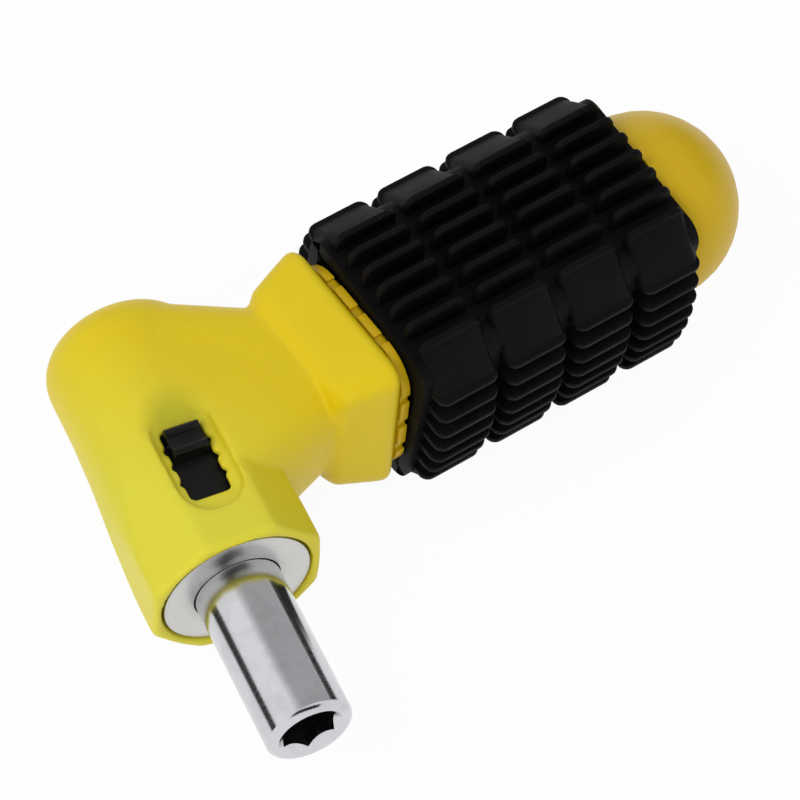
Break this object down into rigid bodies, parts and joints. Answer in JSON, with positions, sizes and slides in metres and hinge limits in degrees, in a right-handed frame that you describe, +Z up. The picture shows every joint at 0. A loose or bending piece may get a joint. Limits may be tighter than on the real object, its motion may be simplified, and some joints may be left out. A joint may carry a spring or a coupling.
{
  "type": "offset ratchet screwdriver",
  "caption": "Offset ratchet screwdriver: a leaning ribbed grip on a moulded head, with a slide switch and a magnetic hex bit holder that turns in the head.",
  "frame": {"origin": "centre of the bounding box's base, with the tool lying on its side on its grip ribs", "axes": "+Z up out of the switch face, -Y along the bit holder towards its mouth, +X towards the domed end of the grip, whose axis leans 10.6 degrees from +X towards +Y"},
  "size_m": [0.0938, 0.07, 0.0327],
  "materials": {
    "yellow_abs": "satin moulded",
    "black_rubber": "matte moulded",
    "black_plastic": "satin moulded",
    "chrome": "polished plate",
    "steel": "brushed",
    "hard_steel": "hardened, dark",
    "bronze": "sintered"
  },
  "bodies": {
    "handle": {"head_housing": "yellow_abs", "handle_core": "yellow_abs", "grip_sleeve": "black_rubber", "handle_pin": "steel", "flange_plate": "steel", "thrust_washer": "bronze", "rear_washer": "steel", "rear_bush": "bronze", "pawl_plate": "steel", "forward_pawl_pin": "steel", "reverse_pawl_pin": "steel", "forward_pawl_spring": "steel", "reverse_pawl_spring": "steel"},
    "spindle": {"bit_holder": "chrome", "bit_magnet": "hard_steel", "ratchet_gear": "hard_steel", "gear_clip": "hard_steel"},
    "switch": {"switch_slider": "black_plastic", "shift_cam": "hard_steel"},
    "forward_pawl_body": {"forward_pawl": "hard_steel"},
    "reverse_pawl_body": {"reverse_pawl": "hard_steel"}
  },
  "joints": [
    {"name": "bit_spin", "type": "hinge", "parent": "handle", "child": "spindle", "pos_m": [-0.036, -0.00344, 0.01636], "axis": [0, 1, 0], "continuous": true},
    {"name": "switch_slide", "type": "slide", "parent": "handle", "child": "switch", "axis": [0, -1, 0], "range_m": [0, 0.005]},
    {"name": "forward_pawl_swing", "type": "hinge", "parent": "handle", "child": "forward_pawl_body", "pos_m": [-0.02971, -0.00344, 0.0168], "axis": [0, 1, 0], "range_deg": [0, 10.3], "deforming": ["forward_pawl_spring"]},
    {"name": "reverse_pawl_swing", "type": "hinge", "parent": "handle", "child": "reverse_pawl_body", "pos_m": [-0.04228, -0.00344, 0.0168], "axis": [0, 1, 0], "range_deg": [0, 10.3], "deforming": ["reverse_pawl_spring"]}
  ],
  "couplings": [
    {"joint": "forward_pawl_swing", "follows": "switch_slide", "rad_per_m": 35.95},
    {"joint": "reverse_pawl_swing", "follows": "switch_slide", "rad_per_m": 35.95}
  ]
}
